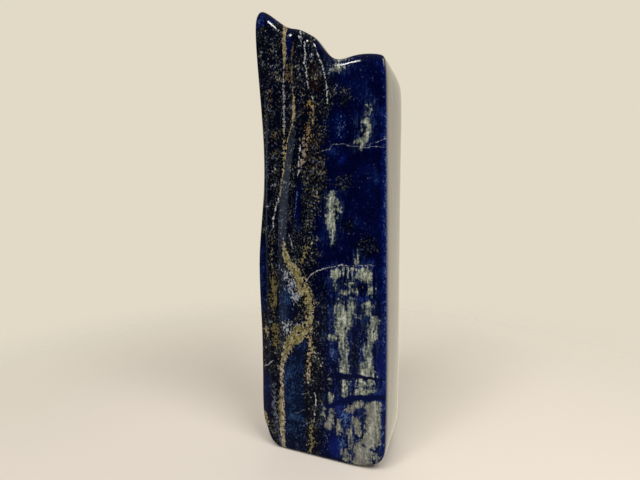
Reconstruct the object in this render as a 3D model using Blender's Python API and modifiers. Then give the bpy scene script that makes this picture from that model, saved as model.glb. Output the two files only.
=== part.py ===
"""A lapis lazuli freeform: one tall polished slab of stone standing on its own flat foot.

The stone faces -Y and stands on z = 0. It starts as a block cut into columns (left to right),
layers (front to back) and rows (foot to crest). The points of that cage are set in millimetres,
and a Subdivision Surface rounds it the way a polishing wheel does.
"""

import math

import bmesh
import bpy
from mathutils import Vector

MM = 0.001

# The planes of the front face and the back face
FRONT = -23.5
BACK = 23.5

# Each column of the cage from left to right, as its foot (x, z) and its crest (x, z)
COLUMNS = (
    ((-33.9, 8.5), (-40.3, 258.0)),
    ((-29.6, 3.4), (-33.6, 259.7)),
    ((-24.6, 0.0), (-19.6, 246.3)),
    ((-21.1, 0.0), (-13.9, 244.9)),
    ((-17.1, 0.0), (-9.6, 243.2)),
    ((-10.1, 0.0), (-5.6, 240.8)),
    ((-2.6, 0.0), (-0.1, 237.2)),
    ((5.9, 0.0), (4.7, 230.2)),
    ((15.4, 0.0), (11.2, 221.6)),
    ((25.4, 0.0), (22.9, 225.2)),
    ((34.9, 2.6), (36.1, 222.6)),
    ((39.2, 6.2), (38.4, 220.6)),
)
LAST_COLUMN = len(COLUMNS) - 1

# Rows of the cage: one just over the foot, five at shares of the height, one just under the crest
FOOT_ROW = 4.5
ROW_SHARES = (0.055, 0.25, 0.42, 0.60, 0.80)
CREST_ROW = 8.0
LAST_ROW = len(ROW_SHARES) + 3

# The left and right sides row by row, from the foot to the crest
LEFT_SIDE = (-34.9, -37.6, -38.6, -38.0, -42.0, -34.3, -38.5, -42.6, -40.3)
RIGHT_SIDE = (39.2, 40.8, 41.1, 41.3, 41.0, 40.6, 40.1, 39.8, 38.1)

# How far the right side leans out towards the back, row by row
RIGHT_FLARE = (0.0, 0.0, 0.0, 0.0, 0.2, 0.5, 1.1, 1.8, 1.9)

# The crease beside the left lobe: how far it sways sideways and how deep it is, row by row
CREASE = 3
CREASE_SWAY = (0.0, 0.0, -1.3, -3.9, -5.6, -7.7, 3.2, 0.5, 0.0)
CREASE_DEPTH = (0.0, 0.2, 0.6, 1.4, 1.7, 1.9, 1.9, 2.0, 2.0)

# The share of that sway that each column takes, from the left. The rest stay where they are
SWAY_SHARE = (0.0, 0.1, 0.8, 1.0, 0.7, 0.4, 0.1)

# Shares of the crease's depth: the lobe rolls into it slowly, the face drops into it steeply
CREASE_SECTION = {CREASE - 1: 0.5, CREASE: 1.0}

# The left lobe lies a little behind the main face
LOBE_SETBACK = 0.8

# The short flute that runs down from the top edge
FLUTE = 5
FLUTE_DEPTH = (0.0, 0.0, 0.0, 0.0, 0.0, 0.4, 1.6, 1.8, 1.8)

# A broad shallow hollow in the back, and the crease's soft vein, which comes out there less deep
HOLLOW_DEPTH = 1.6
HOLLOW_AT = (7.0, 4.0)
HOLLOW_REACH = (3.0, 2.0)
BACK_CREASE_SHARE = 0.5

# The layers just inside the two faces, and how far the polish draws in the edges of each face
FRONT_SUPPORT = 6.0
BACK_SUPPORT = 5.0
FRONT_EDGES = {"left": 3.2, "right": 0.2, "crest": 1.8, "foot": 0.4}
BACK_EDGES = {"left": 2.5, "right": 1.2, "crest": 2.5, "foot": 2.5}
LAST_LAYER = 3

SUBDIVISIONS = 2

LAPIS_BLUE = (0.020, 0.032, 0.160, 1.0)
LAPIS_ROUGHNESS = 0.12


def clear_scene():
    for old in list(bpy.data.objects):
        bpy.data.objects.remove(old, do_unlink=True)


def block_of_cells(*cells):
    """A block with a corner at the origin, cut by one loop at every whole number on each axis."""
    bm = bmesh.new()
    bmesh.ops.create_cube(bm, size=1.0)
    for vertex in bm.verts:
        vertex.co = Vector((place + 0.5) * count for place, count in zip(vertex.co, cells))
    for axis, count in enumerate(cells):
        normal = Vector((0.0, 0.0, 0.0))
        normal[axis] = 1.0
        for cut in range(1, count):
            everything = bm.verts[:] + bm.edges[:] + bm.faces[:]
            bmesh.ops.bisect_plane(bm, geom=everything, plane_co=normal * cut, plane_no=normal)
    return bm


def height_at(column, row):
    """The height of a cage point, seen from the front."""
    foot = COLUMNS[column][0][1]
    crest = COLUMNS[column][1][1]
    near_ends = {0: foot, 1: foot + FOOT_ROW, LAST_ROW - 1: crest - CREST_ROW, LAST_ROW: crest}
    if row in near_ends:
        return near_ends[row]
    return foot + ROW_SHARES[row - 2] * (crest - foot)


def across_at(column, row):
    """The sideways place of a cage point, seen from the front."""
    if column == 0:
        return LEFT_SIDE[row]
    if column == LAST_COLUMN:
        return RIGHT_SIDE[row]
    (foot_x, foot_z), (crest_x, crest_z) = COLUMNS[column]
    share = (height_at(column, row) - foot_z) / (crest_z - foot_z)
    sway = CREASE_SWAY[row] * SWAY_SHARE[column] if column < len(SWAY_SHARE) else 0.0
    return foot_x + share * (crest_x - foot_x) + sway


def front_dip(column, row):
    """How far the front face lies behind its plane."""
    dip = CREASE_DEPTH[row] * CREASE_SECTION.get(column, 0.0)
    if column < CREASE - 1:
        dip += LOBE_SETBACK
    if column == FLUTE:
        dip += FLUTE_DEPTH[row]
    return dip


def back_dip(column, row):
    """How far the back face lies in front of its plane."""
    across = (column - HOLLOW_AT[0]) / HOLLOW_REACH[0]
    up = (row - HOLLOW_AT[1]) / HOLLOW_REACH[1]
    dip = HOLLOW_DEPTH * math.exp(-across * across - up * up)
    if column == CREASE:
        dip += BACK_CREASE_SHARE * CREASE_DEPTH[row]
    return dip


def cage_point(column, layer, row):
    """The place in millimetres of one cage point."""
    x = across_at(column, row)
    z = height_at(column, row)
    if column == LAST_COLUMN and layer > 1:
        x += RIGHT_FLARE[row]
    if layer == 1:
        return Vector((x, FRONT + FRONT_SUPPORT, z))
    if layer == LAST_LAYER - 1:
        return Vector((x, BACK - BACK_SUPPORT, z))

    if layer == 0:
        edges = FRONT_EDGES
        dip = front_dip(column, row)
    else:
        edges = BACK_EDGES
        dip = back_dip(column, row)
    if column == 0:
        x += edges["left"]
        dip += edges["left"]
    if column == LAST_COLUMN:
        x -= edges["right"]
        dip += edges["right"]
    if row == 0:
        dip += edges["foot"]
    if row == LAST_ROW:
        z -= edges["crest"]
        dip += edges["crest"]
    y = FRONT + dip if layer == 0 else BACK - dip
    return Vector((x, y, z))


def lapis_material():
    material = bpy.data.materials.new("Lapis lazuli")
    material.use_nodes = True
    shader = material.node_tree.nodes["Principled BSDF"]
    shader.inputs["Base Color"].default_value = LAPIS_BLUE
    shader.inputs["Roughness"].default_value = LAPIS_ROUGHNESS
    shader.inputs["Metallic"].default_value = 0.0
    material.diffuse_color = LAPIS_BLUE
    return material


def make_stone(collection):
    bm = block_of_cells(LAST_COLUMN, LAST_LAYER, LAST_ROW)
    for vertex in bm.verts:
        column, layer, row = (round(place) for place in vertex.co)
        vertex.co = cage_point(column, layer, row) * MM
    mesh = bpy.data.meshes.new("lapis_stone")
    bm.to_mesh(mesh)
    bm.free()
    mesh.shade_smooth()
    mesh.materials.append(lapis_material())
    stone = bpy.data.objects.new("lapis_stone", mesh)
    collection.objects.link(stone)
    polish = stone.modifiers.new("Polish", "SUBSURF")
    polish.levels = SUBDIVISIONS
    polish.render_levels = SUBDIVISIONS


def main():
    clear_scene()
    collection = bpy.data.collections.new("Lapis lazuli freeform")
    bpy.context.scene.collection.children.link(collection)
    make_stone(collection)


main()
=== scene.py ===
# %% [markdown]
# # A lapis lazuli freeform
# A tall slab of lapis lazuli, sawn flat at the foot and polished all over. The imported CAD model
# is loaded first, as a fixed frame, and everything below is built round it in metres.

# %% Load the frame
import math

import bmesh
import bpy
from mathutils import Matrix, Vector


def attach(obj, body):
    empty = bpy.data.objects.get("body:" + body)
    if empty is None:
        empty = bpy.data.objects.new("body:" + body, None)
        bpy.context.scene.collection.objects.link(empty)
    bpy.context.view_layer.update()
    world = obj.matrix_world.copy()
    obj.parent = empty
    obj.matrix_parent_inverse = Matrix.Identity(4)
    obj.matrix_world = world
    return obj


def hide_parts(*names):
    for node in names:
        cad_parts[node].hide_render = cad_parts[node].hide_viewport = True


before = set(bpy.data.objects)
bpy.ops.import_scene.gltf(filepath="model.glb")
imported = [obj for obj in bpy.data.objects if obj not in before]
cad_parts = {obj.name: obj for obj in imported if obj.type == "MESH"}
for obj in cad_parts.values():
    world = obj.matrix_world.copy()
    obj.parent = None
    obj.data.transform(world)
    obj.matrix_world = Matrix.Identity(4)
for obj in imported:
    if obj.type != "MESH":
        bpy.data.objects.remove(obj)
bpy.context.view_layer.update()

MM = 0.001

# %% [markdown]
# ## Camera
# The stone is seen from a little to its right and from half its height. The lens could be guessed
# until the stone fits the picture. It is given by its focal length in pixels of a 640 pixel wide
# picture instead, because the vanishing points of the stone's edges give just that.

# %% Camera
CAMERA_AT = Vector((0.07618, -0.2088, 0.1352))
CAMERA_TURN = math.radians(21.4)
CAMERA_DOWN = math.radians(3.0)
FOCAL_PIXELS = 362
PICTURE_WIDTH = 640
SENSOR = 36.0
CLIP_START = 0.01


def make_camera():
    data = bpy.data.cameras.new("Camera")
    data.sensor_width = SENSOR
    data.lens = SENSOR * FOCAL_PIXELS / PICTURE_WIDTH
    data.clip_start = CLIP_START
    camera = bpy.data.objects.new("Camera", data)
    camera.location = CAMERA_AT
    camera.rotation_euler = (math.pi / 2 - CAMERA_DOWN, 0.0, CAMERA_TURN)
    bpy.context.scene.collection.objects.link(camera)
    bpy.context.scene.camera = camera
    return data


print("lens in mm:", round(make_camera().lens, 2))

# %% [markdown]
# ## The body of the stone
# A polished slab has no straight edge: the wheel rounds every corner and rolls over every hollow.
# A sculpted mesh would do, but a coarse cage under a Subdivision Surface gives the same soft
# edges from a few numbers. The cage is a block of columns, layers and rows, and these numbers are
# the same ones that the CAD solid was made from, so that the two agree.

# %% The cage in numbers
# The planes of the two faces in millimetres, then each column's foot (x, z) and crest (x, z)
FRONT = -23.5
BACK = 23.5
COLUMNS = (
    ((-33.9, 8.5), (-40.3, 258.0)),
    ((-29.6, 3.4), (-33.6, 259.7)),
    ((-24.6, 0.0), (-19.6, 246.3)),
    ((-21.1, 0.0), (-13.9, 244.9)),
    ((-17.1, 0.0), (-9.6, 243.2)),
    ((-10.1, 0.0), (-5.6, 240.8)),
    ((-2.6, 0.0), (-0.1, 237.2)),
    ((5.9, 0.0), (4.7, 230.2)),
    ((15.4, 0.0), (11.2, 221.6)),
    ((25.4, 0.0), (22.9, 225.2)),
    ((34.9, 2.6), (36.1, 222.6)),
    ((39.2, 6.2), (38.4, 220.6)),
)
LAST_COLUMN = len(COLUMNS) - 1
LAST_LAYER = 3

# One row just over the foot, five at shares of the height and one just under the crest
FOOT_ROW = 4.5
ROW_SHARES = (0.055, 0.25, 0.42, 0.60, 0.80)
CREST_ROW = 8.0
LAST_ROW = len(ROW_SHARES) + 3

# One number for each row, from the foot to the crest. The flare leans the right side out behind
LEFT_SIDE = (-34.9, -37.6, -38.6, -38.0, -42.0, -34.3, -38.5, -42.6, -40.3)
RIGHT_SIDE = (39.2, 40.8, 41.1, 41.3, 41.0, 40.6, 40.1, 39.8, 38.1)
RIGHT_FLARE = (0.0, 0.0, 0.0, 0.0, 0.2, 0.5, 1.1, 1.8, 1.9)

# The crease beside the left lobe, and the share of its sway and depth that each column takes
CREASE = 3
CREASE_SWAY = (0.0, 0.0, -1.3, -3.9, -5.6, -7.7, 3.2, 0.5, 0.0)
CREASE_DEPTH = (0.0, 0.2, 0.6, 1.4, 1.7, 1.9, 1.9, 2.0, 2.0)
SWAY_SHARE = (0.0, 0.1, 0.8, 1.0, 0.7, 0.4, 0.1)
CREASE_SECTION = {CREASE - 1: 0.5, CREASE: 1.0}
LOBE_SETBACK = 0.8

# The short flute under the top edge, the hollow in the back and the crease's trace there
FLUTE = 5
FLUTE_DEPTH = (0.0, 0.0, 0.0, 0.0, 0.0, 0.4, 1.6, 1.8, 1.8)
HOLLOW_DEPTH = 1.6
HOLLOW_AT = (7.0, 4.0)
HOLLOW_REACH = (3.0, 2.0)
BACK_CREASE_SHARE = 0.5

# The layers just inside the faces, and how far the polish draws in the edges of each face
FRONT_SUPPORT = 6.0
BACK_SUPPORT = 5.0
FRONT_EDGES = {"left": 3.2, "right": 0.2, "crest": 1.8, "foot": 0.4}
BACK_EDGES = {"left": 2.5, "right": 1.2, "crest": 2.5, "foot": 2.5}
print("cage cells:", LAST_COLUMN, "across,", LAST_LAYER, "deep,", LAST_ROW, "up")

# %% Where each cage point goes


def height_at(column, row):
    """The height of a cage point, seen from the front."""
    foot = COLUMNS[column][0][1]
    crest = COLUMNS[column][1][1]
    near_ends = {0: foot, 1: foot + FOOT_ROW, LAST_ROW - 1: crest - CREST_ROW, LAST_ROW: crest}
    if row in near_ends:
        return near_ends[row]
    return foot + ROW_SHARES[row - 2] * (crest - foot)


def across_at(column, row):
    """The sideways place of a cage point, seen from the front."""
    if column == 0:
        return LEFT_SIDE[row]
    if column == LAST_COLUMN:
        return RIGHT_SIDE[row]
    (foot_x, foot_z), (crest_x, crest_z) = COLUMNS[column]
    share = (height_at(column, row) - foot_z) / (crest_z - foot_z)
    sway = CREASE_SWAY[row] * SWAY_SHARE[column] if column < len(SWAY_SHARE) else 0.0
    return foot_x + share * (crest_x - foot_x) + sway


def front_dip(column, row):
    """How far the front face lies behind its plane."""
    dip = CREASE_DEPTH[row] * CREASE_SECTION.get(column, 0.0)
    if column < CREASE - 1:
        dip += LOBE_SETBACK
    if column == FLUTE:
        dip += FLUTE_DEPTH[row]
    return dip


def back_dip(column, row):
    """How far the back face lies in front of its plane."""
    across = (column - HOLLOW_AT[0]) / HOLLOW_REACH[0]
    up = (row - HOLLOW_AT[1]) / HOLLOW_REACH[1]
    dip = HOLLOW_DEPTH * math.exp(-across * across - up * up)
    if column == CREASE:
        dip += BACK_CREASE_SHARE * CREASE_DEPTH[row]
    return dip


def cage_point(column, layer, row):
    """The place in millimetres of one cage point."""
    x = across_at(column, row)
    z = height_at(column, row)
    if column == LAST_COLUMN and layer > 1:
        x += RIGHT_FLARE[row]
    if layer == 1:
        return Vector((x, FRONT + FRONT_SUPPORT, z))
    if layer == LAST_LAYER - 1:
        return Vector((x, BACK - BACK_SUPPORT, z))
    edges = FRONT_EDGES if layer == 0 else BACK_EDGES
    dip = front_dip(column, row) if layer == 0 else back_dip(column, row)
    if column == 0:
        x += edges["left"]
        dip += edges["left"]
    if column == LAST_COLUMN:
        x -= edges["right"]
        dip += edges["right"]
    if row == 0:
        dip += edges["foot"]
    if row == LAST_ROW:
        z -= edges["crest"]
        dip += edges["crest"]
    return Vector((x, FRONT + dip if layer == 0 else BACK - dip, z))


print("crest of the left peak in mm:", tuple(round(v, 1) for v in cage_point(1, 1, LAST_ROW)))

# %% Cut the block and set its points
SUBDIVISIONS = 4


def block_of_cells(*cells):
    """A block with a corner at the origin, cut by one loop at every whole number on each axis."""
    bm = bmesh.new()
    bmesh.ops.create_cube(bm, size=1.0)
    for vertex in bm.verts:
        vertex.co = Vector((place + 0.5) * count for place, count in zip(vertex.co, cells))
    for axis, count in enumerate(cells):
        normal = Vector((0.0, 0.0, 0.0))
        normal[axis] = 1.0
        for cut in range(1, count):
            everything = bm.verts[:] + bm.edges[:] + bm.faces[:]
            bmesh.ops.bisect_plane(bm, geom=everything, plane_co=normal * cut, plane_no=normal)
    return bm


def make_rough_stone():
    """The cage as a mesh, with the Subdivision Surface that rounds it."""
    bm = block_of_cells(LAST_COLUMN, LAST_LAYER, LAST_ROW)
    for vertex in bm.verts:
        column, layer, row = (round(place) for place in vertex.co)
        vertex.co = cage_point(column, layer, row) * MM
    mesh = bpy.data.meshes.new("rough_stone")
    bm.to_mesh(mesh)
    bm.free()
    mesh.shade_smooth()
    stone = bpy.data.objects.new("rough_stone", mesh)
    bpy.context.scene.collection.objects.link(stone)
    rounding = stone.modifiers.new("Rounding", "SUBSURF")
    rounding.levels = SUBDIVISIONS
    rounding.render_levels = SUBDIVISIONS
    return stone


rough_stone = make_rough_stone()
print("cage faces:", len(rough_stone.data.polygons))

# %% [markdown]
# ## A way to write node trees
# Materials and Geometry Nodes are both trees of nodes. Wiring them by hand hides the sums that
# they stand for, so a small class wraps a socket and lets Python's own operators add the Math
# nodes, and one method makes any other node from its type, its settings and its inputs.

# %% Node trees as expressions


class Value:
    """One output of a node, which Python's operators turn into Math nodes."""

    def __init__(self, tree, socket):
        self.tree = tree
        self.socket = socket

    def __add__(self, other):
        return self.tree.maths("ADD", self, other)

    def __radd__(self, other):
        return self.tree.maths("ADD", other, self)

    def __sub__(self, other):
        return self.tree.maths("SUBTRACT", self, other)

    def __rsub__(self, other):
        return self.tree.maths("SUBTRACT", other, self)

    def __mul__(self, other):
        return self.tree.maths("MULTIPLY", self, other)

    def __rmul__(self, other):
        return self.tree.maths("MULTIPLY", other, self)

    def __truediv__(self, other):
        return self.tree.maths("DIVIDE", self, other)

    def __rtruediv__(self, other):
        return self.tree.maths("DIVIDE", other, self)

    def __neg__(self):
        return self.tree.maths("MULTIPLY", self, -1.0)

    def __abs__(self):
        return self.tree.maths("ABSOLUTE", self)


class Tree:
    """Adds nodes to one node tree."""

    def __init__(self, node_tree):
        self.node_tree = node_tree

    def node(self, kind, settings=None, inputs=None, output=0):
        """Adds one node: first its settings, then the values and links of its inputs."""
        made = self.node_tree.nodes.new(kind)
        for name, setting in (settings or {}).items():
            if name == "curve":
                lay_curve(made.mapping, setting)
            elif name == "stops":
                set_stops(made.color_ramp, setting)
            else:
                setattr(made, name, setting)
        for name, value in (inputs or {}).items():
            if isinstance(value, Value):
                self.node_tree.links.new(value.socket, made.inputs[name])
            else:
                made.inputs[name].default_value = value
        return Value(self, made.outputs[output])

    def maths(self, operation, *values):
        return self.node("ShaderNodeMath", {"operation": operation}, dict(enumerate(values)))

    def least(self, one, other):
        return self.maths("MINIMUM", one, other)

    def most(self, one, other):
        return self.maths("MAXIMUM", one, other)

    def vectors(self, operation, *values, output="Vector"):
        settings = {"operation": operation}
        return self.node("ShaderNodeVectorMath", settings, dict(enumerate(values)), output)

    def scaled(self, vector, factor):
        settings = {"operation": "SCALE"}
        return self.node("ShaderNodeVectorMath", settings, {"Vector": vector, "Scale": factor})

    def step(self, value, low, high):
        """0 where the value is under low, 1 where it is over high, and soft between."""
        settings = {"interpolation_type": "SMOOTHSTEP"}
        inputs = {"Value": value, "From Min": low, "From Max": high}
        return self.node("ShaderNodeMapRange", settings, inputs)

    def mix(self, mask, under, over):
        """One colour over another where the mask is 1."""
        inputs = {0: mask, 6: under, 7: over}
        return self.node("ShaderNodeMix", {"data_type": "RGBA"}, inputs, 2)


def lay_curve(mapping, points):
    """Lays a curve through the points, in the points' own units."""
    mapping.use_clip = False
    ordered = sorted(points)
    curve = mapping.curves[0]
    curve.points[0].location = ordered[0]
    curve.points[1].location = ordered[-1]
    for point in ordered[1:-1]:
        curve.points.new(*point)
    for point in curve.points:
        point.handle_type = "AUTO_CLAMPED"
    mapping.update()


def set_stops(ramp, stops):
    """Sets a ramp's stops from (place, colour) pairs."""
    while len(ramp.elements) < len(stops):
        ramp.elements.new(1.0)
    for element, (place, colour) in zip(ramp.elements, stops):
        element.position = place
        element.color = colour


# %% [markdown]
# ## The polished skin
# Hand polishing never leaves a face quite flat. The wheel sinks into the softer grains, so that a
# window seen in the stone wavers a little. A bump in the material could fake that, but the bare
# mesh would lack it. So a Geometry Nodes tree pushes the finished skin inwards by about a fifth of
# a millimetre, by the rule of two noises. Pushing only inwards keeps the stone in the CAD box, and
# the sawn foot is left alone.

# %% Skin as a Geometry Nodes tree
SKIN_SIZES = {
    "Skin": 0.07 * MM,
    "Wave height": 0.20 * MM,
    "Wave length": 16.0 * MM,
    "Ripple height": 0.03 * MM,
    "Ripple length": 4.5 * MM,
    "Foot left flat": 2.5 * MM,
}
WAVE_SEED = 3.0
RIPPLE_SEED = 8.0


def skin_tree():
    """The tree that pushes the skin in, with an input for each of its sizes."""
    group = bpy.data.node_groups.new("polished_skin", "GeometryNodeTree")
    faces = group.interface
    faces.new_socket("Geometry", in_out="INPUT", socket_type="NodeSocketGeometry")
    for name in SKIN_SIZES:
        faces.new_socket(name, in_out="INPUT", socket_type="NodeSocketFloat")
    faces.new_socket("Material", in_out="INPUT", socket_type="NodeSocketMaterial")
    faces.new_socket("Geometry", in_out="OUTPUT", socket_type="NodeSocketGeometry")
    tree = Tree(group)
    entry = group.nodes.new("NodeGroupInput")
    given = {socket.name: Value(tree, socket) for socket in entry.outputs if socket.name}
    place = tree.node("GeometryNodeInputPosition")
    normal = tree.node("GeometryNodeInputNormal")

    def swell(name, seed):
        """A noise whose bumps lie one length apart, times its height."""
        inputs = {"Vector": place, "W": seed, "Scale": 1.0 / given[name + " length"], "Detail": 1.0}
        noise = tree.node("ShaderNodeTexNoise", {"noise_dimensions": "4D"}, inputs, "Fac")
        return noise * given[name + " height"]

    height = tree.node("ShaderNodeSeparateXYZ", {}, {"Vector": place}, "Z")
    off_the_foot = tree.step(height, 0.0, given["Foot left flat"])
    swells = swell("Wave", WAVE_SEED) + swell("Ripple", RIPPLE_SEED)
    push = (swells + given["Skin"]) * off_the_foot
    inputs = {"Geometry": given["Geometry"], "Offset": tree.scaled(normal, -push)}
    pushed = tree.node("GeometryNodeSetPosition", {}, inputs)
    whole = tree.node("GeometryNodeRealizeInstances", {}, {"Geometry": pushed})
    inputs = {"Geometry": whole, "Material": given["Material"]}
    dressed = tree.node("GeometryNodeSetMaterial", {}, inputs)
    leave = group.nodes.new("NodeGroupOutput")
    group.links.new(dressed.socket, leave.inputs["Geometry"])
    return group


skin = skin_tree()
print("nodes in the skin tree:", len(skin.nodes))

# %% [markdown]
# ## How the markings run through the stone
# Lapis is layered: what looks like a vein on the face is the edge of a sheet that cuts through the
# slab. A painted image laid round the stone would stretch at its sides and show a seam. So every
# marking is drawn by two numbers that are worked out from the place inside the stone. On the front
# face they are the distances across and up in millimetres. Deeper in, the sheets lean and wander,
# and the sides and the back show them shifted, as on a sawn block.

# %% Coordinates of the sheets
LEAN_ACROSS = 0.30
LEAN_UP = 0.30
WANDER_LENGTH = 55.0
WANDER_PER_DEPTH = 0.9
JITTER_LENGTH = 7.0
JITTER = 2.2
JITTER_MORE_UP = 1.4
DRIFT_ROUGHNESS = 0.6

lapis = bpy.data.materials.new("Polished lapis lazuli")
lapis.use_nodes = True
shader = lapis.node_tree.nodes["Principled BSDF"]
stone = Tree(lapis.node_tree)
step, mix, least, most = stone.step, stone.mix, stone.least, stone.most


def noise(vector, length, detail=2.0, roughness=0.5, output="Fac"):
    """A noise texture whose grains are about one length across, in millimetres."""
    inputs = {"Vector": vector, "Scale": 1.0 / length, "Detail": detail, "Roughness": roughness}
    return stone.node("ShaderNodeTexNoise", {}, inputs, output)


def drift(length, detail):
    """A direction that changes slowly from place to place."""
    colour = noise(place, length, detail, DRIFT_ROUGHNESS, "Color")
    return stone.vectors("SUBTRACT", colour, (0.5, 0.5, 0.5))


def parts(vector):
    """The three numbers of a vector."""
    split = vector.tree.node("ShaderNodeSeparateXYZ", {}, {"Vector": vector})
    return [Value(vector.tree, socket) for socket in split.socket.node.outputs]


in_metres = stone.node("ShaderNodeTexCoord", output="Object")
place = stone.scaled(in_metres, 1.0 / MM)
x, y, z = parts(place)
depth = most(y - FRONT, 0.0)
wander = stone.scaled(drift(WANDER_LENGTH, 1.0), depth * WANDER_PER_DEPTH)
jitter = stone.scaled(drift(JITTER_LENGTH, 4.0), JITTER)
shift_x, _, shift_z = parts(stone.vectors("ADD", wander, jitter))
across = x + depth * LEAN_ACROSS + shift_x
up = z + depth * LEAN_UP + shift_z * JITTER_MORE_UP
sheet = stone.node("ShaderNodeCombineXYZ", {}, {"X": across, "Y": up, "Z": 0.0})
print("sheets lean", LEAN_ACROSS, "across and", LEAN_UP, "up for each millimetre of depth")

# %% [markdown]
# ## The grain of the stone
# Everything in lapis is granular. With a noise for each marking, no grain would line up with the
# next. So five serve nearly the whole material: crumbs the size of one mineral grain, a mottle of
# small groups of grains, upright streaks, patches and slow clouds. Each is centred on zero, so that
# it tears an edge without moving it.

# %% Grain
CRUMB = 1.1
MOTTLE = 1.9
STREAK = 1.2
PATCH = 5.3
CLOUD = 13.0
STREAK_SQUEEZE = 0.16


def grain(length, detail, roughness, squeeze=None):
    """A noise centred on zero, whose grains are long where the squeeze is small."""
    vector = stone.vectors("MULTIPLY", place, squeeze) if squeeze else place
    return noise(vector, length, detail, roughness) - 0.5


crumb = grain(CRUMB, 3.0, 0.72, (1.0, 1.0, 0.8))
mottle = grain(MOTTLE, 3.0, 0.65)
streaks = grain(STREAK, 3.0, 0.6, (1.0, 1.0, STREAK_SQUEEZE))
cloud = grain(CLOUD, 2.0, 0.55)
patches = grain(PATCH, 3.0, 0.55)
grit = step(crumb + mottle * 0.5, -0.10, 0.08)
print("grains in mm:", CRUMB, MOTTLE, PATCH, CLOUD, "and", STREAK, "by", STREAK / STREAK_SQUEEZE)

# %% [markdown]
# ## Brushes
# Three kinds of marking cover everything on this stone. A stroke follows a drawn line whose width
# changes, for veins, cracks and the long calcite patches. A round is a drawn oval. A border is a
# drawn line with something else on either side. They could be painted by hand, but numbers can be
# checked with a ruler. Each brush gives a distance in millimetres from its own edge, positive
# inside, and the grain is added to it. The number beside a grain is how many millimetres it may
# move the edge, and the last two numbers of a step are where the edge begins and where it is full.

# %% Brushes
END_FADE = 1.5
GONE = -4.0


def stroke(along, aside, points):
    """How far inside a line of (place along, place aside, half width) points a place lies."""
    ordered = sorted(points)
    middles = [(point[0], point[1]) for point in ordered]
    halves = [(point[0], point[2]) for point in ordered]
    halves = [(halves[0][0] - END_FADE, GONE), *halves, (halves[-1][0] + END_FADE, GONE)]
    half = stone.node("ShaderNodeFloatCurve", {"curve": halves}, {"Value": along})
    middle = stone.node("ShaderNodeFloatCurve", {"curve": middles}, {"Value": along})
    return half - abs(aside - middle)


def upright(points):
    """A stroke that runs up the stone, drawn as (height, across, half width)."""
    return stroke(up, across, points)


def level(points):
    """A stroke that runs across the stone, drawn as (across, height, half width)."""
    return stroke(across, up, points)


def rounds(drawn):
    """How far inside the nearest (across, height, half width, half height) oval a place lies."""
    inside = None
    for middle_x, middle_z, half_x, half_z in drawn:
        inputs = {
            0: sheet,
            1: (1.0 / half_x, 1.0 / half_z, 0.0),
            2: (-middle_x / half_x, -middle_z / half_z, 0.0),
        }
        fitted = stone.node("ShaderNodeVectorMath", {"operation": "MULTIPLY_ADD"}, inputs)
        length = stone.vectors("LENGTH", fitted, output="Value")
        reach = (1.0 - length) * min(half_x, half_z)
        inside = reach if inside is None else most(inside, reach)
    return inside


def any_of(distances):
    """The union of several brushes."""
    inside = distances[0]
    for distance in distances[1:]:
        inside = most(inside, distance)
    return inside


def border(points):
    """How far a place lies to the left of a border drawn as (height, across) points."""
    return stone.node("ShaderNodeFloatCurve", {"curve": points}, {"Value": up}) - across


print("brushes: stroke, rounds, border")

# %% [markdown]
# ## Blue ground
# The blue mineral is never even. Dense ultramarine, nearly black navy and small azure grains lie
# in fine upright streaks. Laying each over the last would need a mask for each. One number for how
# light the blue is, made of all the grain and raised in a few drawn rounds, goes through a colour
# ramp instead. Low on the left lies a duller denim.

# %% Blue ground
NEAR_BLACK = (0.0002, 0.001, 0.012, 1.0)
NAVY = (0.0002, 0.0014, 0.0255, 1.0)
ULTRAMARINE = (0.0008, 0.004, 0.048, 1.0)
ROYAL = (0.006, 0.018, 0.11, 1.0)
AZURE = (0.04, 0.09, 0.32, 1.0)
VIVID = (0.0015, 0.0065, 0.105, 1.0)


def ramp(value, stops):
    """A colour looked up by a number that is centred on zero."""
    shifted = [(place_on_ramp + 0.5, colour) for place_on_ramp, colour in stops]
    return stone.node("ShaderNodeValToRGB", {"stops": shifted}, {"Fac": value + 0.5}, "Color")


# Every round is (across, height, half width, half height) in millimetres
# The rounds on the right edge, at (37, 40) here and (37.5, 59) among the vivid ones, brighten it:
# partly the stone's own blue, partly a painted highlight of the rounding
bright_rounds = [
    (-15.2, 235, 2, 8), (14.5, 31, 2.6, 7), (13, 8, 4.5, 6), (-33.5, 112, 3, 15), (-33.5, 94, 3, 14),
    (-32, 34, 3.5, 13), (11.5, 172, 3.5, 3), (15.5, 184, 4.5, 8), (31, 62, 4, 9), (-36, 253, 5, 4),
    (-26, 251, 4, 3), (37, 40, 3, 6), (-8.5, 247, 8, 3),
]
vivid_rounds = [
    (15, 31, 2.4, 6), (12.5, 10, 3.8, 7.5), (28, 94, 5, 1.8), (16, 168, 2, 3), (-35, 252, 3.5, 3.5),
    (37.5, 59, 2, 8),
]
# A stroke along the rounded right edge that raises the blue there: partly the stone's own brighter
# blue, partly a painted highlight where the polish rounds
right_edge_blue_and_highlight = [
    (2, 39.6, 0.7), (60, 40.3, 1.6), (98, 40.2, 2), (140, 39.9, 2.3), (185, 39.4, 2), (200, 39, 0.8),
    (216, 37.5, 0.7),
]
hazy = step(rounds([(25, 45, 16, 62), (-10, 118, 12, 24)]) + patches * 20.0, -4.0, 4.0)
brighter = step(rounds(bright_rounds) + mottle * 4.0, -1.0, 1.5)
vivid = step(rounds(vivid_rounds) + mottle * 3.0 + crumb * 2.0, -0.6, 1.2)
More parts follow.
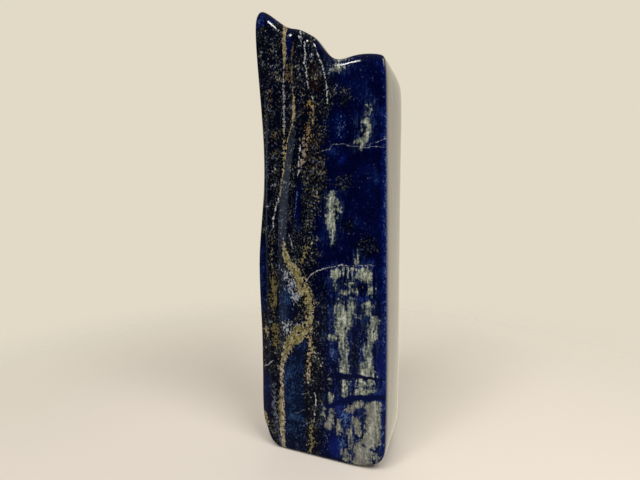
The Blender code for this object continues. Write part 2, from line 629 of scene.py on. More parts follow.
# Blue raised along the right edge: partly the stone's own, partly a painted highlight
edge_blue_and_highlight = step(upright(right_edge_blue_and_highlight) + crumb * 5.0 + mottle * 2.0, -1.0, 1.2)
lightness = cloud * 0.6 + streaks * 0.45 + crumb * 0.6 + patches * 0.45
lightness = lightness + brighter * 0.16 + edge_blue_and_highlight * 0.13 + hazy * 0.10
blue_stops = [
    (-0.26, NEAR_BLACK), (-0.02, NAVY), (0.13, ULTRAMARINE), (0.27, ROYAL), (0.42, AZURE),
]
blue = ramp(lightness, blue_stops)
blue = mix(most(vivid, edge_blue_and_highlight * 0.8) * (0.55 + grit * 0.35), blue, VIVID)
print("stops of the blue ramp:", len(blue_stops))

# %% Azure crumbs
AZURE_CRUMB = (0.08, 0.15, 0.34, 1.0)
azure_rounds = [
    (-34, 252, 5, 4), (-25, 249, 4, 3), (18, 223, 6, 2.5), (30, 224, 5, 2), (15.5, 184, 4, 8),
    (-5, 244, 6, 2), (26.5, 66, 4, 14), (11, 62, 4, 9), (12, 94, 3, 5), (19, 27, 6, 8), (17, 12, 5, 7),
    (24, 94, 8, 2), (-16, 87, 4.5, 10), (-33.5, 100, 2.5, 24), (6, 78, 3.8, 28), (9, 48, 3.8, 12),
    (7, 12, 3.4, 12),
]
# Along the right edge the azure crumbs are partly the stone's own grains, partly a painted highlight of
# the rounding
azure_there = most(upright(right_edge_blue_and_highlight), rounds(azure_rounds) * 0.6) + mottle * 6.0
azure_crumbs = step(azure_there + crumb * 15.0, 1.8, 4.4)
blue = mix(azure_crumbs, blue, AZURE_CRUMB)
print("rounds of azure crumbs:", len(azure_rounds))

# %% Denim field low on the left
DENIM_DARK = (0.0003, 0.003, 0.016, 1.0)
DENIM = (0.0009, 0.006, 0.033, 1.0)
DENIM_LIGHT = (0.02, 0.055, 0.15, 1.0)

# Every border is drawn as (height, across) points in millimetres
field_left = [(0, -19), (52, -19.5), (57, -16.5), (61, -14.5), (66, -10.5), (69, -5), (72, -1)]
field_right = [(0, -4.5), (20, -5.5), (40, -6.5), (60, -5.5), (68, -3), (72, -4), (76, -10)]
in_field = least(border(field_right), -border(field_left))
inner_blue = rounds([(-18.5, 88, 4.0, 11)])
field = step(most(in_field, inner_blue) + mottle * 6.0 + crumb * 3.0, -0.6, 0.8)
denim_tone = lightness + crumb * 1.1 + patches * 0.4
denim = ramp(denim_tone, [(-0.22, DENIM_DARK), (0.0, DENIM), (0.26, DENIM_LIGHT)])
ground = mix(field * 0.9, blue, denim)
print("the denim field reaches up to", max(height for height, _ in field_right), "mm")

# %% [markdown]
# ## Dark matrix and its dust
# Left of the middle the stone is nearly black, full of fine grains of olive, grey and gold, up to
# a torn border. Scattered dots would all be alike. So the grains are the crumbs again: their height
# is stretched and cubed, which gives the many faint and few bright grains that real dust has.

# %% Dark matrix
MATRIX = (0.0006, 0.0014, 0.006, 1.0)
matrix_border = [
    (0, 5), (20, 6), (40, 6), (60, 6), (80, 3), (100, 1.5), (112, 3), (125, 2), (134, 0), (142, 3),
    (150, 7), (160, 8), (172, 7), (185, 7), (195, 10), (205, 12), (213, 13), (222, 9), (240, 7),
]
blue_rounds = [
    (-15.2, 235, 2.4, 9), (-33.8, 105, 4, 24), (-32, 31, 4.5, 15), (-9.5, 145, 2, 14),
    (-8, 247, 12, 4.5), (-36, 254, 7, 5), (-28, 251, 9, 3.5), (4, 232, 3, 7), (-38, 200, 2.5, 45),
    (10, 226, 6, 4), (-17, 87, 5.5, 10),
]
dark_rounds = [
    (17, 156, 6, 5), (27.5, 99.7, 4, 2.8), (17, 201, 5, 6), (30, 122, 7, 6), (19.5, 132, 4, 4),
    (27.2, 87.6, 2.4, 2), (26.6, 79.8, 1.8, 1.6), (23.5, 64, 3, 12), (4.5, 84, 4.5, 25),
    (8.5, 46, 3, 8),
]
torn = mottle * 9.0 + streaks * 7.0 + crumb * 5.0
in_matrix = step(border(matrix_border) + torn * 1.2 + patches * 12.0, -3.0, 3.5)
in_matrix = in_matrix * (1.0 - field * (1.0 - step(up, 34.0, 6.0) * 0.45))
blue_there = step(rounds(blue_rounds) + torn * 0.5, -0.8, 1.2)
dark_there = step(rounds(dark_rounds) + torn * 0.7, -1.0, 2.5)
matrix = most(in_matrix * (1.0 - blue_there * 0.85), dark_there * 0.8)
ground = mix(matrix * 0.94, ground, MATRIX)
print("dark matrix laid, its border drawn by", len(matrix_border), "points")

# %% Dust in the matrix
DUST_GREY = (0.29, 0.35, 0.5, 1.0)
DUST_OLIVE = (0.43, 0.42, 0.25, 1.0)
DUST_GREEN = (0.3, 0.34, 0.2, 1.0)
DUST_GOLD = (0.4, 0.3, 0.13, 1.0)
DUST_PALE = (0.72, 0.7, 0.6, 1.0)
DUST_TONE = 2.6
DUST_CONTRAST = 3.0
RUST = (0.012, 0.005, 0.003, 1.0)
gold_rounds = [
    (-2, 187, 6, 13), (2, 165, 8, 12), (-28, 205, 4, 12), (-25, 182, 3, 6), (8, 150, 6, 6),
    (28, 99, 4, 3), (26.8, 80, 2, 2), (27.5, 87.5, 2, 2),
]
golden = step(rounds(gold_rounds) + patches * 16.0, -1.5, 2.5)
tone = grain(DUST_TONE, 2.0, 0.6)
dust_colour = mix(step(tone, -0.06, 0.08), DUST_GREY, DUST_OLIVE)
dust_colour = mix(golden * step(tone + crumb, -0.04, 0.12), dust_colour, DUST_GOLD)
denser = step(rounds([(-7, 122, 7, 18), (0, 55, 5, 16), (0, 157, 6, 8)]), -2.0, 3.0)
dust_colour = mix(denser * 0.45, dust_colour, DUST_GREEN)
dust_share = matrix * 0.115 + patches * 0.40 + golden * matrix * 0.015 + denser * 0.04 - 0.180
stretched = {"Value": crumb + dust_share, "From Min": -0.10, "From Max": 0.18}
dust = stone.maths("POWER", stone.node("ShaderNodeMapRange", {}, stretched), DUST_CONTRAST)
rusty = step(rounds([(0, 213, 5, 9), (1, 178, 4, 4)]) + mottle * 8.0, -0.5, 2.0)
ground = mix(rusty * 0.6, ground, RUST)
dust_colour = mix(step(dust, 0.45, 0.9), dust_colour, DUST_PALE)
ground = mix(dust, ground, dust_colour)
print("dust laid, golden in", len(gold_rounds), "rounds")

# %% [markdown]
# ## Calcite
# The pale patches on the right are calcite. They have torn edges, fine upright streaks of blue and
# holes where the blue comes through, and they turn bluish where they thin out. Noise alone would
# put them anywhere. So strokes and rounds place them and the grain only tears them, and the same
# distance gives their tone, so that a thin edge is dim as well.

# %% Where the calcite lies
# Every stroke is a list of (height, across, half width) points in millimetres
long_patches = [
    [
        (151.5, 10, 0.4), (150, 10, 1), (146, 10, 2.2), (140, 10, 2.6), (135, 10.1, 2.5),
        (130, 10.8, 2.1), (127, 11.3, 1.5), (124, 11, 0.7), (122, 10.6, 0.2),
    ],
    [(146, 13.2, 0.3), (143.5, 13.6, 0.4), (140.5, 14.6, 0.1)],
    [
        (188.5, 29.4, 0.4), (187, 29, 1.6), (184, 30.6, 1.3), (181, 30.2, 1.5), (178.5, 28.8, 1.9),
        (176.5, 27.6, 1.6), (174.5, 26.8, 1), (172.3, 26, 0.4),
    ],
    [
        (90, 15.5, 0.6), (88.5, 16.2, 2.6), (87, 17, 4.4), (82, 17.5, 4.6), (78, 17.2, 4.3),
        (76, 16.3, 3.2), (73, 16, 2.9), (69, 17.2, 2), (62, 17.6, 2.1), (56, 17.8, 2.3),
        (52.8, 17.6, 2.2),
    ],
    [(94, 21.5, 0.6), (91, 21.8, 1.6), (88, 21.7, 2.1), (84, 20.8, 1.8)],
    [(92.8, 31.4, 0.8), (90, 31.3, 1.5), (87, 31.1, 1.2), (85.3, 31.5, 0.4)],
    [
        (84.6, 34.4, 1.7), (82, 33.8, 2.2), (78, 33.4, 2.4), (74, 33.3, 2.3), (71, 32.3, 1.9),
        (68, 31, 2), (64, 30.9, 1.8), (60, 30.7, 2.2), (57, 30.4, 3.4), (53.4, 30.3, 4.1),
    ],
    [(48, 18.6, 0.9), (45, 18.2, 1.7), (41, 17.8, 1.9), (37.5, 17.5, 1.3)],
    [(50, 27, 1.2), (46, 27, 1.5), (43.5, 28, 3.2), (41.5, 26.5, 2.4), (40.3, 25, 1.2)],
    [(50, 32.5, 1.9), (46, 32.5, 2.1), (44.5, 31.5, 2.3)],
    [
        (38.6, 35, 3.2), (36, 34.2, 4.2), (30, 34.3, 4.2), (22, 34, 4.6), (17, 32.6, 5),
        (14, 30.2, 5.4), (10, 28.8, 5.2), (6, 28.4, 5.2), (2, 28, 4.4),
    ],
    [(37.6, 26.5, 1.6), (36, 25.5, 2.8), (33.5, 22.8, 2.2), (30, 20.4, 0.9)],
    [(28, 24.5, 1.4), (25, 24.5, 2.2), (22, 25.6, 1.9), (19.5, 26.5, 1.6)],
    [
        (39, 10, 0.9), (36, 9.8, 1.2), (32, 10.2, 0.7), (30.5, 10.6, 0.9), (26, 10.4, 1.4),
        (22, 9.4, 1.7), (19, 9, 0.9),
    ],
    [(31.5, 5.6, 0.4), (26, 5.8, 0.4)],
    [(25, 14.2, 0.9), (20, 14.2, 1.1), (17, 14.4, 0.5)],
    [(9.5, 19, 1.2), (6, 18.5, 1.8), (3, 18.8, 2)],
    [(20.5, 20.8, 0.9), (14, 21.6, 0.8), (10, 21.2, 0.7)],
    [(104, 12.6, 0.3), (98, 12.9, 0.2)],
    [(110, 17.4, 0.3), (106, 17.4, 0.2)],
    [(110.3, 19.8, 0.45), (105, 19.8, 0.3)],
    [(110, 22.1, 0.5), (103.6, 22.1, 0.3)],
    [(109.5, 24, 0.3), (105, 24, 0.3)],
]
calcite_rounds = [
    (12.9, 106.6, 2.8, 2.6), (28.9, 106.6, 3.8, 3.6), (22.8, 97.4, 2.2, 1.1), (17.3, 96.6, 1.5, 1.5),
    (32.6, 98.3, 1.2, 2.3), (20.8, 101.3, 1.8, 0.6), (24.7, 114.6, 0.8, 1.4), (12, 70.8, 2.6, 1),
    (25.6, 177, 1.8, 1.3), (26.6, 182.4, 0.5, 1.2), (27.8, 90.9, 1.4, 0.6), (30.7, 193.8, 0.8, 1.5),
    (29.9, 190.8, 0.7, 0.7), (26, 84.6, 1, 1.2), (15.4, 91, 1.3, 1.2), (12.8, 216.5, 3.4, 1.8),
    (15.5, 221.5, 2.4, 1.2), (35.8, 8.2, 1.2, 2),
]
blue_islands = [
    (34, 11.6, 1.4, 1.5), (37, 13, 0.9, 4.4), (29, 14, 1, 1.4), (34, 77, 0.7, 0.9),
    (9.6, 110, 1.8, 1.6), (18.8, 87.4, 0.6, 1), (28.4, 182.6, 0.9, 1.4), (18.6, 77, 0.5, 0.8),
    (18.6, 107, 1, 3.6), (21, 106.4, 1, 3.8), (23.2, 107.2, 0.9, 3.4), (16.2, 107.4, 0.8, 3.2),
    (33.8, 109.4, 1.6, 1.8), (19.5, 102.6, 3.4, 0.9), (27.2, 99.6, 3.6, 2.6), (15.4, 101.4, 1.2, 3.6),
    (25.8, 92.5, 2.6, 2.2), (25.6, 88, 2.2, 4), (24.5, 66, 2, 14), (10.4, 98, 1, 3),
]
ISLAND_STRENGTH = 2.6
CALCITE_ENDS_ACROSS = 38.2
strokes = any_of([upright(points) for points in long_patches])
pale = most(strokes, rounds(calcite_rounds))
pale = least(pale, -rounds(blue_islands) * ISLAND_STRENGTH)
pale = least(pale, (CALCITE_ENDS_ACROSS - x) * 3.0)
print("calcite drawn by", len(long_patches), "strokes and", len(calcite_rounds), "rounds")

# %% Calcite colours
CALCITE_BLUE = (0.035, 0.055, 0.11, 1.0)
HALO_BLUE = (0.025, 0.048, 0.11, 1.0)
CALCITE_GREY = (0.14, 0.16, 0.13, 1.0)
CALCITE = (0.325, 0.352, 0.276, 1.0)
CALCITE_PINKISH = (0.155, 0.145, 0.14, 1.0)
CALCITE_WHITE = (0.68, 0.7, 0.64, 1.0)
solid_rounds = [
    (28, 180, 6, 11), (13, 107, 4, 4), (29, 107, 5, 4.5), (33, 20, 5, 18), (10.5, 138, 4, 14),
    (17.5, 82, 5, 8), (33, 78, 3, 8),
]
white_rounds = [(28, 181, 8, 12), (21, 106, 14, 7)]
crisp_rounds = [*white_rounds, (25, 72, 14, 22)]
solid = step(rounds(solid_rounds) + patches * 6.0, -1.0, 1.5)
crisp = step(rounds(crisp_rounds), -1.0, 2.0)
body = pale + (crumb + streaks + mottle) * (5.6 - solid * 1.4 - crisp * 1.8) - 0.05
calcite = step(body, -0.8, 0.5)
calcite_tone = crumb * 0.7 + streaks * 0.7 + mottle * 0.5 + step(body, 0.0, 3.5) * 0.14
whiter = step(rounds(white_rounds), -1.0, 2.0)
calcite_tone = calcite_tone + solid * 0.04 + whiter * 0.05 - 0.05
halo = step(pale + streaks * 16.0 + mottle * 8.0 + crumb * 6.0, -3.5, 1.5)
ground = mix(halo * 0.55, ground, HALO_BLUE)
calcite_stops = [
    (-0.16, CALCITE_BLUE), (-0.03, CALCITE_GREY), (0.11, CALCITE), (0.30, CALCITE_WHITE),
]
calcite_colour = ramp(calcite_tone, calcite_stops)
greyed = step(up, 42.0, 36.0) * (0.35 + step(patches, -0.1, 0.1) * 0.35)
calcite_colour = mix(greyed, calcite_colour, CALCITE_PINKISH)
ground = mix(calcite, ground, calcite_colour)
print("stops of the calcite ramp:", len(calcite_stops))

# %% [markdown]
# ## Gold-brown matrix
# A branch of gold and tan matrix comes down from the left crease, turns right, bends back under
# the pale frayed patch and runs to the foot as a cream vein. Several patches could be pieced
# together, but their joints would show. It is one stroke whose width and colour change.

# %% The frayed patches beside the branch
FRAYED_GREY = (0.07, 0.095, 0.165, 1.0)
FRAYED_WHITE = (0.54, 0.57, 0.6, 1.0)
SLANT_SQUEEZE = (0.75, 1.0, 0.35)
frayed_rounds = [
    (-13.6, 98.6, 3.6, 4.6), (-11.4, 92.3, 3.2, 3.4), (-17, 104, 2.6, 3.2), (-16.6, 73, 2.8, 5),
]
slant = grain(CRUMB, 3.0, 0.65, SLANT_SQUEEZE)
frayed = step(rounds(frayed_rounds) + slant * 14.0 + crumb * 12.0 - 0.6, -0.2, 1.6)
frayed_colour = mix(step(crumb, -0.10, 0.14), FRAYED_GREY, FRAYED_WHITE)
ground = mix(frayed * 0.9, ground, frayed_colour)
print("frayed patches:", len(frayed_rounds))

# %% The gold branch
GOLD_DARK = (0.05, 0.042, 0.014, 1.0)
GOLD_OLIVE = (0.24, 0.205, 0.068, 1.0)
TAN = (0.3, 0.245, 0.105, 1.0)
CREAM = (0.5, 0.475, 0.33, 1.0)
PINK_DARK = (0.085, 0.068, 0.03, 1.0)
PINK_CREAM = (0.52, 0.43, 0.31, 1.0)
branch = [
    (124.5, -18.4, 0.2), (121, -18.5, 0.8), (117, -18.1, 1.5), (113, -16.8, 2.1), (110.5, -14.6, 2.6),
    (107, -11.6, 3), (104, -9.6, 3.2), (100, -8.2, 2.8), (96, -6.2, 3.2), (92, -4.2, 2.8),
    (88, -2.9, 2.2), (84, -2.4, 1.8), (80, -2.4, 1.6), (77, -4.4, 2.4), (74, -7.2, 4.8), (70, -9.8, 5),
    (66, -13.8, 3.6), (62, -16.5, 2.5), (57, -18.7, 1.8), (52, -20.4, 1.3), (40, -20.8, 1.1),
    (30, -20.8, 1.3), (22, -20.5, 1.6), (15, -20.3, 1.4), (10, -20.1, 1.4), (0, -19.3, 1.1),
]
branch_holes = [
    (-6.6, 93, 1.3, 1.8), (-7, 99.5, 0.8, 1), (-4, 81.8, 1.1, 1.8), (-6.4, 81.5, 1, 1.6),
    (-5.4, 76.4, 1.5, 0.9), (-8, 78, 1.6, 1.2), (-9.5, 71.5, 0.9, 0.8), (-12.5, 108, 1, 0.8),
]
arm = least(upright(branch), -rounds(branch_holes) * 1.5)
low_branch = step(up, 66.0, 48.0)
smooth_part = most(low_branch, step(up, 108.0, 114.0))
torn_arm = (crumb * 12.0 + mottle * 16.0 + streaks * 6.0) * (1.0 - smooth_part * 0.7)
pits = step(mottle + crumb * 0.8, 0.10, 0.17) * (1.0 - smooth_part)
branch_mask = step(arm + torn_arm, -0.5, 0.6) * (1.0 - pits * 0.85)
branch_tone = tone * 0.8 + crumb * 1.4
branch_stops = [(-0.20, GOLD_DARK), (-0.04, GOLD_OLIVE), (0.08, TAN), (0.24, CREAM)]
branch_colour = ramp(branch_tone, branch_stops)
pink = mix(step(branch_tone, -0.16, 0.16), PINK_DARK, PINK_CREAM)
branch_colour = mix(low_branch, branch_colour, pink)
ground = mix(branch_mask, ground, branch_colour)
rim = step(abs(arm + torn_arm * 0.5 - 0.4) * -1.0 + crumb * 2.0, -0.5, 0.2)
ground = mix(rim * 0.75 * (1.0 - low_branch * 0.5), ground, CREAM)
print("the branch runs through", len(branch), "points")

# %% [markdown]
# ## Veins
# Thin veins run up the left half. A smooth line would look drawn with a pen. So each is a stroke
# whose edge the crumbs move, some so far that only grains of it are left in the dark.

# %% Veins of the left half
VEIN_CREAM = (0.4, 0.32, 0.18, 1.0)
VEIN_LILAC = (0.33, 0.32, 0.36, 1.0)
VEIN_WHITE = (0.48, 0.49, 0.49, 1.0)
VEIN_GOLD = (0.3, 0.2, 0.07, 1.0)
VEIN_BROWN = (0.14, 0.1, 0.05, 1.0)
VEIN_OLIVE = (0.23, 0.2, 0.095, 1.0)
VEIN_GREY = (0.1, 0.115, 0.165, 1.0)
VEIN_PINK = (0.3, 0.24, 0.19, 1.0)
VEIN_BLUE = (0.07, 0.12, 0.33, 1.0)
VEIN_MOSS = (0.15, 0.13, 0.055, 1.0)

# Each row: the colour, how far the crumbs tear it, and the stroke
veins = [
    (VEIN_CREAM, 1.5, [
        (262, -18.2, 1), (244, -18.2, 1.1), (238, -18.4, 1.1), (230, -18.1, 1), (226, -18, 0.8),
        (223, -18, 0.4),
    ]),
    (VEIN_LILAC, 4, [
        (224, -18.1, 0.2), (216, -18.5, 0.4), (210, -18.6, 0.45), (200, -18.4, 0.45),
        (190, -18.5, 0.35), (184, -18.6, 0.1),
    ]),
    (VEIN_OLIVE, 6, [(186, -18.6, 0.2), (176, -18.3, 0.4), (168, -18.7, 0.3), (160, -19.4, 0)]),
    (VEIN_CREAM, 4.5, [
        (190, -19, 0), (176, -19, 0.1), (162, -19.4, 0.1), (158, -20.2, 0.2), (151, -21.5, 0.1),
        (147, -23, 0),
    ]),
    (VEIN_WHITE, 4.5, [
        (152, -21.5, 0), (147, -23, 0.2), (141, -25, 0.25), (135, -25.7, 0.2), (130, -26, -0.2),
    ]),
    (VEIN_WHITE, 6, [(121, -26.5, 0), (110, -26.8, 0)]),
    (VEIN_BROWN, 2.4, [(236, -12.8, 0), (228, -13.4, 0.5), (216, -13.5, 0.5), (212, -13.2, 0.2)]),
    (VEIN_CREAM, 2.4, [
        (219, -13.5, -0.1), (213, -13.3, 0.05), (204, -12.4, 0.35), (199, -12, 0.75), (195, -12.2, 0.9),
        (191, -12.8, 0.6), (187, -14.2, 0.3), (181, -16.3, 0.3), (176, -17.3, 0.2), (172, -18, 0),
    ]),
    (VEIN_BROWN, 9, [(225, -16.4, 0.3), (220, -16.5, 0.9), (214, -16.3, 0.5)]),
    (VEIN_WHITE, 3, [(262, -9, 0.2), (239, -8.3, 0.3), (234, -8.2, 0.2)]),
    (VEIN_WHITE, 4.6, [
        (234, -6.2, 0.1), (228, -5.4, 0.2), (222, -5.6, 0.25), (218, -4.6, 0.15), (211, -4, 0.2),
        (207, -3, 0.1), (205, -1.8, 0.2), (200, -0.6, 0),
    ]),
    (VEIN_WHITE, 2.6, [
        (228, 1, 0.1), (224, 2.5, 0.2), (221, 4, 0.2), (213, 6, 0.15), (205, 7.5, 0.2), (198, 7.9, 0),
    ]),
    (VEIN_GOLD, 14, [
        (202, -2.6, 0), (198.5, -2.6, 1), (196, -2.2, -0.8), (191, -3.2, -0.8), (188, -4, 0.2),
        (184, -3.1, 0.6), (180, -3.6, 0.4), (175, -5, -0.2), (168, -6.8, -0.4),
    ]),
    (VEIN_PINK, 14, [(184, -5.5, -1), (178, -6, 0.2), (170, -7, 0.4), (164, -7.5, -0.8)]),
    (VEIN_CREAM, 3, [(199, -0.6, 0.4), (188, -0.8, 0.4)]),
    (VEIN_WHITE, 5, [(179, -8.3, 0), (177, -8.5, 0.1), (170, -9, 0.1), (160, -9.7, -0.1)]),
    (VEIN_BLUE, 3, [(153, -10.3, -0.1), (145, -11, 0.1), (137, -11.8, -0.1)]),
    (VEIN_MOSS, 15, [
        (130, -26.5, -1), (120, -26.5, -0.4), (108, -26.5, -0.4), (103, -25.5, 0.8), (98, -25.6, 1.6),
        (87, -25.8, 1.6), (83, -25.5, -0.6), (78, -25, -0.8), (74, -24.8, 1), (66, -24.6, 0.8),
        (60, -24.4, -0.6),
    ]),
    (VEIN_BROWN, 15, [
        (102, -25.5, -1.6), (96, -25.3, -1), (88, -25.2, -1), (84, -25.5, -1.6), (76, -24.8, -1.2),
        (72, -24.8, -0.5), (66, -24.6, -1.2),
    ]),
    (VEIN_OLIVE, 12, [(36, -22.4, -0.6), (28, -22.6, 0.6), (20, -22.4, 0.4), (14, -22, -0.6)]),
    (VEIN_GREY, 13, [(44, -25, -1.2), (32, -25.6, 0.4), (20, -25, 0.6), (10, -23, 0.5), (2, -21, 0)]),
    (VEIN_CREAM, 13, [(73.5, -31.5, -0.6), (71, -31, 0.9), (68, -30.5, 0.4), (66, -30, -0.6)]),
    (VEIN_CREAM, 9, [(19, -33, 0.4), (15, -33, 1.8), (11, -31, 0.6)]),
    (VEIN_WHITE, 3, [(51, -4, 0.2), (43, -3.5, 0.25)]),
    (VEIN_WHITE, 2, [(38.5, 0.5, 0.1), (33, 1, 0.3), (28, 0.3, 0.25), (20.5, 0, 0.1)]),
    (VEIN_OLIVE, 9, [(19, -1.2, 0.1), (14, -2, 0.6), (10, -1.5, 0.7), (2, -2.5, 0.6)]),
    (VEIN_WHITE, 1.6, [(128, -15.5, 0.15), (119.5, -13, 0.25)]),
    (VEIN_CREAM, 10, [(71, -3.8, 0), (66, -2.2, 0.7), (58, -2.5, 0.7), (51, -3, 0.5), (44, -3.6, 0.1)]),
    (VEIN_OLIVE, 13, [(123, -5, -1), (117, -6, 0.5), (111, -8, 0.3), (108, -9.5, -1)]),
]
tear = crumb + mottle * 0.4
for vein_colour, torn_by, points in veins:
    mask = step(upright(points) + tear * torn_by, -0.25, 0.30) * (0.30 + grit * 0.70)
    ground = mix(mask, ground, vein_colour)
print("veins drawn:", len(veins))

# %% [markdown]
# ## Healed cracks
# A few hairline cracks run across the slab. They are healed with calcite and show as fine pale
# lines, and one near the foot shows dark. A band of plain blue climbs to the right edge above the
# foot. They could be cut into the mesh, but nothing can be felt there. So they are strokes again,
# drawn sideways and nearly without width, and the same grain breaks them up.

# %% Cracks
CRACK_WHITE = (0.27, 0.28, 0.35, 1.0)
CRACK_PALE = (0.42, 0.43, 0.45, 1.0)
CRACK_DARK = (0.0012, 0.003, 0.016, 1.0)
BAND_BLUE = (0.0006, 0.0034, 0.044, 1.0)

# Each row: the colour, how far the crumbs tear it, and (across, height, half width) points
cracks = [
    (BAND_BLUE, 3, [
        (6, 31.5, 0.5), (9, 32, 1), (14, 35, 1.3), (20, 38, 1.3), (27, 40, 1.3), (35, 41.4, 1.3),
        (42, 42.3, 1.3),
    ]),
    (CRACK_WHITE, 1.2, [
        (1, 172.8, 0), (8.5, 173.5, 0), (11, 176.3, 0.05), (21, 175, 0), (28, 173.5, 0.15),
        (33, 173.3, 0), (39, 173, 0),
    ]),
    (CRACK_WHITE, 1.6, [(31, 174.5, 0), (36, 176, 0.05), (40, 178, 0.1)]),
    (CRACK_PALE, 2.4, [
        (-5, 101, 0.1), (-3.6, 102.8, 0.35), (-2, 104.8, 0.25), (0.5, 106.6, 0.15), (4, 108.4, 0.1),
        (9, 110, 0.05), (22, 111.6, 0), (35, 111.8, -0.1),
    ]),
    (CRACK_DARK, 0.6, [(8, 48.8, 0.15), (20, 50.3, 0.3), (30, 51, 0.3), (41, 52.5, 0.25)]),
    (CRACK_WHITE, 1.2, [(-11, 35, -0.1), (-5, 36.5, 0), (-3, 38, -0.1)]),
    (CRACK_WHITE, 1.2, [(-11, 23, -0.1), (-8, 26, 0), (-5, 27, -0.1)]),
    (CRACK_PALE, 1.2, [(-34, 48, 0.05), (-30, 49.8, 0.2), (-26, 52.6, 0.1)]),
]
for crack_colour, torn_by, points in cracks:
    mask = step(level(points) + tear * torn_by, -0.25, 0.20)
    ground = mix(mask, ground, crack_colour)
print("cracks drawn:", len(cracks))

# %% [markdown]
# ## Gloss
# Lapis takes a high polish, calcite a little less, and the flecks of pyrite are metal. A coat could
# give the shine, but a polished stone has none: its own surface is smooth. So the roughness is low
# and rises in the softer minerals. The sides shine because they mirror the surround at a low angle.

# %% Gloss
POLISH = 0.07
SOFTER_MINERALS = 0.10
DUSTY = 0.08
MOTTLED = 0.08
PYRITE_SHARE = 0.7
BUMP_HEIGHT = 0.06 * MM
BUMP_STRENGTH = 0.5
REFRACTION = 1.5
SPECULAR = 0.35

soft_minerals = most(calcite, branch_mask)
roughness = soft_minerals * SOFTER_MINERALS + dust * DUSTY + mottle * MOTTLED + POLISH
glints = step(dust, 0.5, 0.8) * golden
grain_height = mottle + streaks * 0.5
inputs = {"Strength": BUMP_STRENGTH, "Distance": BUMP_HEIGHT, "Height": grain_height}
relief = stone.node("ShaderNodeBump", {}, inputs, "Normal")
links = lapis.node_tree.links
links.new(ground.socket, shader.inputs["Base Color"])
links.new(roughness.socket, shader.inputs["Roughness"])
links.new((glints * PYRITE_SHARE).socket, shader.inputs["Metallic"])
links.new(relief.socket, shader.inputs["Normal"])
shader.inputs["IOR"].default_value = REFRACTION
shader.inputs["Specular IOR Level"].default_value = SPECULAR
print("nodes in the lapis material:", len(lapis.node_tree.nodes))

# %% [markdown]
# ## The finished stone
# Modifiers can stay live, but another program would not know them. So the rounding and the skin
# are baked into one plain mesh, which stands where the CAD solid stands and takes its place.

# %% Put the skin on and make it one mesh


def finish_stone(rough):
    """The rough stone with its skin and material, as one plain mesh."""
    polish = rough.modifiers.new("Skin", "NODES")
    polish.node_group = skin
    for socket in skin.interface.items_tree:
        if socket.in_out == "INPUT" and socket.name in SKIN_SIZES:
            polish[socket.identifier] = SKIN_SIZES[socket.name]
        if socket.in_out == "INPUT" and socket.name == "Material":
            polish[socket.identifier] = lapis
    graph = bpy.context.evaluated_depsgraph_get()
    mesh = bpy.data.meshes.new_from_object(rough.evaluated_get(graph), depsgraph=graph)
    mesh.name = "lapis_freeform"
    bpy.data.objects.remove(rough)
    finished = bpy.data.objects.new("lapis_freeform", mesh)
    bpy.context.scene.collection.objects.link(finished)
    return finished


lapis_freeform = finish_stone(rough_stone)
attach(lapis_freeform, "root")
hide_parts("lapis_stone")
lapis_freeform.data.calc_loop_triangles()
print("triangles of the finished stone:", len(lapis_freeform.data.loop_triangles))

# %% [markdown]
# ## Floor and light
# The stone stands on a pale floor that fades into a pale surround. Polished stone mirrors whatever
# is round it, so lamps alone would leave it black. Walls could be modelled for it. Here the
# surround is plain to the camera, and to the polish it is a room: dim in front, which gives the
# face its depth, pale behind, which the right side mirrors, and with a window on the left. One
# small lamp overhead makes the glints along the crest, and a key and a fill light the colours.

# %% Floor
FLOOR_RADIUS = 0.60
FLOOR_SIDES = 96
FLOOR_FADE = (0.12, 0.46)
FLOOR_COLOUR = (0.79, 0.73, 0.67, 1.0)
FLOOR_ROUGHNESS = 0.45
FLOOR_LOST_IN_POLISH = 0.9


def make_floor():
    """A disc that fades out, and that the polish of the stone mirrors only faintly."""
    bm = bmesh.new()
    bmesh.ops.create_circle(bm, cap_ends=True, segments=FLOOR_SIDES, radius=FLOOR_RADIUS)
    mesh = bpy.data.meshes.new("floor")
    bm.to_mesh(mesh)
    bm.free()
    material = bpy.data.materials.new("Pale floor")
    material.use_nodes = True
    paint = Tree(material.node_tree)
    nodes = material.node_tree.nodes
    surface = nodes["Principled BSDF"]
    surface.inputs["Base Color"].default_value = FLOOR_COLOUR
    surface.inputs["Roughness"].default_value = FLOOR_ROUGHNESS
    spot = paint.node("ShaderNodeTexCoord", output="Object")
    away = paint.vectors("LENGTH", spot, output="Value")
    clear = paint.node("ShaderNodeBsdfTransparent")
    mirrored = paint.node("ShaderNodeLightPath", output="Is Glossy Ray")
    unseen = paint.most(paint.step(away, *FLOOR_FADE), mirrored * FLOOR_LOST_IN_POLISH)
    inputs = {0: unseen, 1: Value(paint, surface.outputs[0]), 2: clear}
    faded = paint.node("ShaderNodeMixShader", {}, inputs)
    paint.node_tree.links.new(faded.socket, nodes["Material Output"].inputs["Surface"])
    mesh.materials.append(material)
    floor = bpy.data.objects.new("floor", mesh)
    bpy.context.scene.collection.objects.link(floor)


make_floor()
print("floor radius in m:", FLOOR_RADIUS)

# %% Surround
PLAIN_SURROUND = (0.76, 0.7, 0.57, 1.0)
DIM_SIDE = (0.012, 0.013, 0.017, 1.0)
PALE_SIDE = (1.14, 1.04, 0.8, 1.0)
PALE_TOWARDS = Vector((0.25, 0.97, 0.0))
PALE_FADE = (0.3, 0.9)
OVERHEAD = (0.16, 0.16, 0.16, 1.0)
OVERHEAD_FADE = (0.65, 0.95)

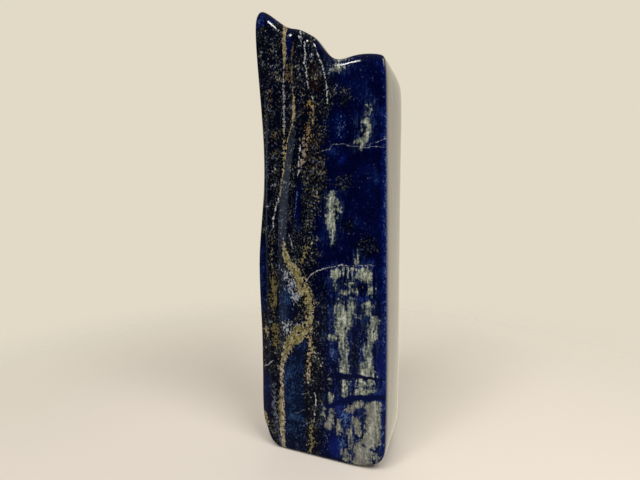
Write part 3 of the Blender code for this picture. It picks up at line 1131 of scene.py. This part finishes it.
# The window's edges in degrees from the front, its sills and head as heights on a unit sphere
WINDOW = (0.62, 0.74, 0.98, 1.0)
WINDOW_LEFT = (-63.0, -56.0)
WINDOW_RIGHT = (-43.0, -37.0)
LOW_SILL = (-0.50, -0.36)
HIGH_SILL = (-0.09, 0.0)
WINDOW_HEAD = (0.20, 0.32)
LOW_PART = 0.35


def make_surround():
    """A world that is plain to the camera and a room to everything else."""
    world = bpy.data.worlds.new("Surround")
    world.use_nodes = True
    bpy.context.scene.world = world
    room = Tree(world.node_tree)
    towards = room.node("ShaderNodeTexCoord", output="Generated")
    behind = room.vectors("DOT_PRODUCT", towards, PALE_TOWARDS, output="Value")
    sideways, onward, height = parts(towards)
    turn = room.maths("ARCTAN2", sideways, -onward) * math.degrees(1.0)
    width = room.step(turn, *WINDOW_LEFT) * (1.0 - room.step(turn, *WINDOW_RIGHT))
    low_light = room.step(height, *LOW_SILL) * LOW_PART
    high_light = room.step(height, *HIGH_SILL) * (1.0 - LOW_PART)
    window = width * (low_light + high_light) * (1.0 - room.step(height, *WINDOW_HEAD))
    seen = room.mix(room.step(behind, *PALE_FADE), DIM_SIDE, PALE_SIDE)
    seen = room.mix(room.step(height, *OVERHEAD_FADE), seen, OVERHEAD)
    seen = room.mix(window, seen, WINDOW)
    camera_ray = room.node("ShaderNodeLightPath", output="Is Camera Ray")
    colour = room.mix(camera_ray, seen, PLAIN_SURROUND)
    background = world.node_tree.nodes["Background"]
    room.node_tree.links.new(colour.socket, background.inputs["Color"])


make_surround()
print("window in degrees from the front:", WINDOW_LEFT[0], "to", WINDOW_RIGHT[1])

# %% Lamps
LAMP_COLOUR = (1.0, 0.97, 0.92)
STRIP_WIDTH = 0.08


def add_softbox(name, at, aim, size, watts):
    """A square area lamp at one point that shines at another, in metres."""
    data = bpy.data.lights.new(name, "AREA")
    data.shape = "SQUARE"
    data.size = size
    data.energy = watts
    data.color = LAMP_COLOUR
    lamp = bpy.data.objects.new(name, data)
    lamp.location = at
    lamp.rotation_euler = (Vector(aim) - Vector(at)).to_track_quat("-Z", "Y").to_euler()
    bpy.context.scene.collection.objects.link(lamp)
    return lamp


add_softbox("Key", (0.60, -0.30, 0.95), (0.0, 0.0, 0.05), 0.50, 6.3)
add_softbox("Fill", (-0.10, -0.85, 1.25), (0.0, 0.0, 0.12), 0.90, 12.3).visible_glossy = False
overhead = add_softbox("Ceiling lamp", (-0.393, -0.883, 1.105), (0.0, 0.0, 0.23), 0.22, 2.1)
overhead.data.shape = "RECTANGLE"
overhead.data.size_y = STRIP_WIDTH
bpy.context.scene.view_settings.view_transform = "Standard"
